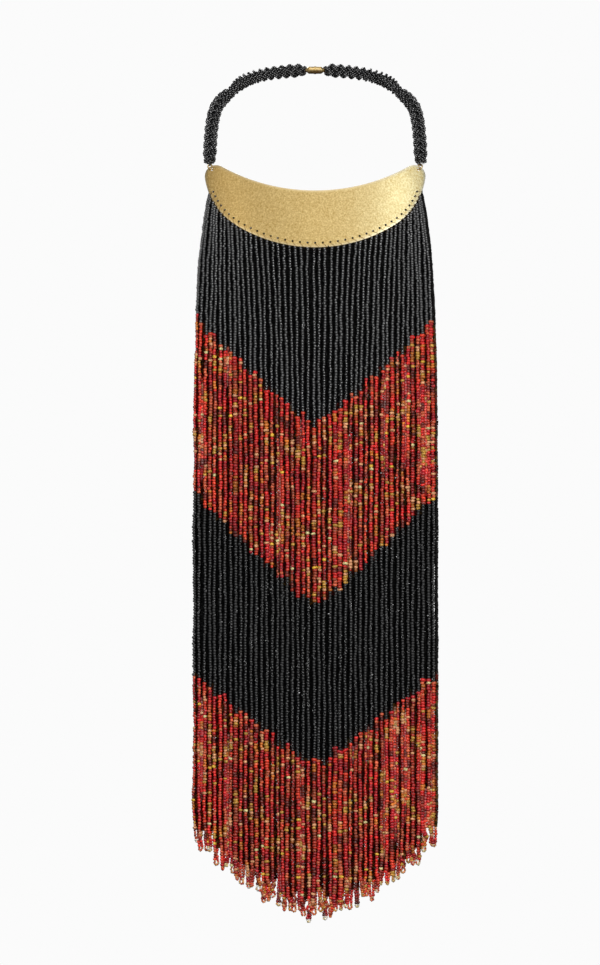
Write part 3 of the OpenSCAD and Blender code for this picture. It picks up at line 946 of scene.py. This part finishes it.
dice = np.random.default_rng(5)
threaded_loops = []
for pair in range(pair_count):
    front, behind = 2 * pair, 2 * pair + 1
    loop_r = dice.choice((dice.uniform(*tight_loop), dice.uniform(*open_loop)), p=loop_parts) * MM
    tip_run = loop_r * (math.pi - math.asin(pinch / loop_r)) + dice.uniform(*more_tip_run) * MM
    twist_l = dice.uniform(*twist_ls) * MM
    twist = math.radians(dice.choice(twists, p=twist_parts) + dice.normal(0, twist_spread))
    wave = (
        dice.uniform(*weave_ls) * MM, dice.uniform(0, math.tau), float(dice.random() < weave_share))
    gleam = dice.uniform(0, math.tau, 2)
    pale_tip = dice.random() < pale_tip_share
    lean = np.clip(dice.normal(0, lean_spread), -most_lean, most_lean) * MM
    low = level_z(front, TIPS) + loop_r + tip_bead_d / 2
    path, tip_at, whole_l = loop_path(pair, low, loop_r, twist_l, twist, lean, wave)
    lengths, legs = bead_lengths(tip_at, whole_l, tip_run)
    middles, along = threaded(path, lengths)
    count = len(middles)
    lengths, legs = lengths[:count], legs[:count]

    # Each bead's place in the loop, its layer and its colour band.
    z = middles[:, 2]
    at_tip = legs == ROUND
    second = (legs == UP) | (at_tip & (np.arange(count) > np.flatnonzero(at_tip).mean()))
    forward = come_between(behind, z, *wave)
    hanging = second & (z > low + twist_l)
    is_between = hanging & (forward > 0.1)
    is_behind = hanging & ~is_between
    zone = np.zeros(count, int)
    for strand, mine in ((front, ~second), (behind, second)):
        for level in (1, 2, 3):
            zone[mine & (z < level_z(strand, level))] = level
    red = (zone == 1) | (zone == 3)
    bright, shaded = red & ~is_behind, red & is_behind

    # Widths: the back beads are as wide as the gap between the front strands that they fill.
    girth = np.clip(dice.normal(1, girth_spread, count), *girth_range)
    girth[~second] *= dice.uniform(*front_girths)
    filling = (gap_between(pair, z) / 2 - overlap) / (mean_narrowing * bead_d / 2)
    girth[is_behind] *= np.clip(filling, *behind_girths)[is_behind]
    girth[is_between] *= np.clip(filling, *between_girths)[is_between]
    girth[red & ~second] *= dice.choice(strand_girths, p=strand_girth_parts)
    girth[bright] *= dice.uniform(*girth_range, bright.sum())
    middles[~is_behind, :2] += dice.normal(0, stray, ((~is_behind).sum(), 2))
    along = unit(along + dice.normal(0, tilt_spread, along.shape))

    # Colours: black, the red mixtures, rounder pale beads and the first red bead under a border.
    tints = np.array([black_tints[i] for i in dice.integers(0, 3, count)])
    kinds, strength = mixed_reds(z)
    tints[bright] = (red_tints[kinds] * strength[:, None])[bright]
    tints[shaded] = shaded_tints[dice.choice(len(shaded_names), shaded.sum(), p=shaded_parts)]
    rounded = bright & np.isin(kinds, round_kinds) & (dice.random(count) < round_share)
    girth[rounded] = np.maximum(girth[rounded], 1.0) * round_girth
    for i in np.flatnonzero(red[1:] & ~red[:-1] & ~second[1:]) + 1:
        tints[i] = red_tints[dice.choice(first_kinds)]
        girth[i] *= border_girth
    tints[at_tip] = (
        clear_tints[dice.choice(len(clear_names), at_tip.sum(), p=clear_parts)] if pale_tip
        else red_tints[dice.choice(pale_kinds, at_tip.sum())])
    girth[at_tip] = dice.normal(1, 0.06, at_tip.sum()) * tip_bead_d / bead_d

    # Gloss of the black glass, in the tint's alpha: it comes and goes down a strand.
    forward = np.clip((forward - 0.1) / 0.7, 0, 1)
    gloss = 0.78 + 0.16 * np.sin(z / long_gleam + gleam[0]) + 0.14 * np.sin(z / short_gleam + gleam[1])
    gloss -= np.where(zone == 2, 0.08, 0) + 0.25 * share(front) ** 2
    tints[:, 3] = np.where(is_behind, 0, np.where(is_between, gloss * forward, gloss))
    # Reds of a back strand that comes forward darken the further back it stays: painted shade.
    tints[bright & is_between, :3] *= (0.3 + 0.6 * forward[bright & is_between])[:, None]
    sizes = np.stack((girth, girth, lengths / bead_l), -1)
    depth = np.where(is_behind, BACK, np.where(is_between, BETWEEN, FRONT))
    threaded_loops.append((middles, along, sizes, tints, zone, depth))
middles, along, sizes, tints, zone, depth = [
    np.concatenate(parts) for parts in zip(*threaded_loops)]

# Pressed opaque glass in mixed reds with some gold, glossy from the fire: saturated, with swirls
# that lighten and darken each bead, partly streaks in the glass and partly painted glints, and
# with painted shade at the joints. The swirls are drawn coarser than real streaks.
red_glass = seed_bead_glass(
    "mixed_red_seed_bead_glass", swirl_l=1.0 * MM, detail=3.0, swirl=(0.32, 0.68), tones=(0.28, 1.8),
    joint_painted_shade=0.65, polish=(0.24, 0.36), gloss_share=0.0, ior=1.65)

bands = (
    ("upper_black", "fringe_black_upper", black_glass, "black_glass_beads", 0.55, "upper_jet"),
    ("upper_red", "fringe_red_upper", red_glass, "red_glass_beads", 0.36, "red"),
    ("lower_black", "fringe_black_lower", black_glass, "black_glass_beads", 0.55, "lower_jet"),
    ("lower_red", "fringe_red_lower", red_glass, "red_glass_beads", 0.36, "red"))
layers = (("front", 6, 4, 1.0), ("between", 6, 3, 0.3), ("back", 5, 3, 0.1))
for number, (word, node, glass, slot, narrowing, lamp_word) in enumerate(bands):
    for layer, (where, sides, rings, narrowed) in enumerate(layers):
        chosen = (zone == number) & (depth == layer)
        if not chosen.any():  # no strand comes forward in the black bands
            continue
        piece = bead_piece(
            f"{word}_{where}_strands", middles[chosen], along[chosen], sizes[chosen], tints[chosen],
            glass, sides, rings, bead_d, bead_l, narrowing * narrowed, seed=number)
        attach(piece, "root")
        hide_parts(node)
        light(piece, "rear")
        if layer != BACK:
            light(piece, lamp_word)


# Stringing threads
# Black waxed thread is knotted in each hole of the plate and ties the braid's strings to the
# rings and the clasp. Honey brown stitches bind the strands' tops round the plate's rim.

thread_r = 0.14 * MM
knot_thread_r = 0.36 * MM
knot_r = 0.47 * MM
knot_turns = 2.2
knot_h = 1.1 * MM
knot_sunk = 0.6 * MM
stitch_lift = thread_r + 0.06 * MM
ring_turn = math.radians(27)
tie_l = 4 * MM


def thread_tree():
    """A round thread along each path, smooth between the path's points."""
    tree, given = shape_tree(
        "thread_along_a_path", Thread_radius="Float", Sides="Int", Steps="Int", Thread="Material")
    paths = add_node(tree, "GeometryNodeMeshToCurve", {"Mesh": given["Geometry"]})
    rounded = add_node(tree, "GeometryNodeCurveSplineType", {"Curve": paths}, spline_type="CATMULL_ROM")
    stepped = add_node(tree, "GeometryNodeSetSplineResolution", {
        "Geometry": rounded, "Resolution": given["Steps"]})
    girth = add_node(tree, "GeometryNodeCurvePrimitiveCircle", {
        "Resolution": given["Sides"], "Radius": given["Thread radius"]})
    tube = add_node(tree, "GeometryNodeCurveToMesh", {
        "Curve": stepped, "Profile Curve": girth, "Fill Caps": True})
    end_tree(tree, tube, given["Thread"])
    return tree


thread_on_path = thread_tree()


def thread_piece(name, paths, closed, radius, sides, steps, thread):
    """One mesh of threads, from the points that each of them runs through."""
    points, edges = [], []
    for path in paths:
        first, count = len(points), len(path)
        points += [tuple(p) for p in path]
        edges += [
            (first + i, first + (i + 1) % count) for i in range(count if closed else count - 1)]
    mesh = bpy.data.meshes.new(name)
    mesh.from_pydata(points, edges, [])
    piece = new_piece(name, mesh)
    run_tree(piece, thread_on_path, {
        "Thread radius": radius, "Sides": sides, "Steps": steps, "Thread": thread})
    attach(piece, "root")
    return piece


def waxed_thread(name, low_colour, high_colour):
    """Twisted thread, dyed through and waxed, with its plies as fine slanting lines."""
    thread, tree, shader = new_material(name)
    coords = add_node(tree, "ShaderNodeTexCoord").outputs["Object"]
    slanted = add_node(tree, "ShaderNodeMapping", {"Vector": coords, "Rotation": (0, math.radians(35), 0)})
    plies = add_node(tree, "ShaderNodeTexWave", {
        "Vector": slanted, "Scale": 1 / (6 * MM), "Distortion": 1.5, "Detail": 2.0})
    wax = add_node(tree, "ShaderNodeTexNoise", {"Vector": coords, "Scale": 1 / (0.8 * MM), "Detail": 2.0})
    tone = add_node(tree, "ShaderNodeValToRGB", {0: plies.outputs["Fac"]})
    tone.color_ramp.elements[0].color = linear(low_colour)
    tone.color_ramp.elements[1].color = linear(high_colour)
    dull = add_node(tree, "ShaderNodeMapRange", {"Value": wax, "To Min": 0.6, "To Max": 0.9})
    bump = add_node(tree, "ShaderNodeBump", {
        "Height": plies.outputs["Fac"], "Strength": 0.4, "Distance": 0.06 * MM})
    set_inputs(shader, {
        "Base Color": tone, "Roughness": dull, "Normal": bump, "Specular IOR Level": 0.15})
    return thread


# Black waxed nylon thread: a dull dark dot in each hole, with no shine beside the brass.
black_thread = waxed_thread("black_waxed_thread", "#030303", "#0A0A0B")
# Honey waxed nylon thread: close to the brass in tone, so that it reads as a fine worn edge.
honey_thread = waxed_thread("honey_waxed_thread", "#96703A", "#C8A060")


def beside_edge(s, out, lift):
    """Points off the sheet's middle, s along its lower edge, out past it and lift in front."""
    points = np.array([edge_point(along, o) for along, o in zip(s, out)])
    return on_sheet(points, np.asarray(lift))


knots, stitches = [], []
angles = np.linspace(0, knot_turns * math.tau, round(knot_turns * 8))
knot_circle = knot_r * np.stack((np.cos(angles), np.sin(angles)), -1)
knot_rise = np.linspace(-knot_h / 2, knot_h / 2, len(angles)) - knot_sunk
stitch_course = np.array((  # out past the edge in mm, lift to the face, slant to the next hole
    (-3.1, -0.5, 0), (-3.2, 0.5, 0), (-3.0, 1, 0), (-1.6, 1, 0.26), (-0.2, 1, 0.48),
    (0.3, 0.5, 0.5), (0.3, -0.5, 0.5), (-0.2, -1, 0.52), (-1.6, -1, 0.4), (-3.0, -1, 0.1)))
stitch_out, stitch_rise, stitch_slant = stitch_course.T
for k in range(hole_count):
    s, after = row_place(hole_share(k)), row_place(hole_share(k + 1))
    knots.append(on_sheet(edge_point(s, -hole_inset) + knot_circle, knot_rise))
    stitches.append(beside_edge(
        s + (after - s) * stitch_slant, stitch_out * MM, stitch_rise * (plate_t / 2 + stitch_lift)))
thread_piece(
    "hole_knots", knots, closed=False, radius=knot_thread_r, sides=6, steps=1, thread=black_thread)
rim_stitches = thread_piece(
    "rim_stitches", stitches, closed=True, radius=thread_r, sides=5, steps=2, thread=honey_thread)
light(rim_stitches, "brass")

ties, whippings = [], []
wire_top = on_ring(ring_d)
ring_up = unit(wire_top - on_ring(0))
outward = plate_normal(horn_hole[0])
sideways = np.cross(-outward, ring_up)
tangent = -math.sin(ring_turn) * sideways - math.cos(ring_turn) * outward
wire_side = np.cross(tangent, ring_up)
whipping_r = ring_wire / 2 + thread_r
angles = np.linspace(0, math.tau, 9)[:-1, None]
for ply in range(3):
    centre = wire_top + tangent * (ply - 1) * 2.1 * thread_r
    whippings.append(centre + whipping_r * (np.cos(angles) * ring_up + np.sin(angles) * wire_side))
    for across, rise in bundle:
        for end, inward, anchor in (
                (braid_l, -tie_l, centre + ring_up * whipping_r),
                (0, tie_l, np.array((clasp_l / 2 - thread_r, 0, 0)))):
            middle, out, size = ply_course(ply, np.array((end, end + inward)))
            ahead = unit(middle[1] - middle[0]) * math.copysign(1, inward)
            beside = unit(np.cross(ahead, out[0]))
            above = np.cross(beside, ahead)
            start = middle[0] + (beside * across + above * rise) * string_half_gap * size[0]
            ties.append(np.array((
                start + (middle[1] - middle[0]) / 4, start, (start + anchor) / 2, anchor)))
for side, word in ((LEFT, "left"), (RIGHT, "right")):
    for name, paths, closed in (("braid_ties", ties, False), ("ring_whipping", whippings, True)):
        thread_piece(
            f"{word}_{name}", [path * (side, 1, 1) for path in paths], closed, radius=thread_r,
            sides=5, steps=2, thread=black_thread)
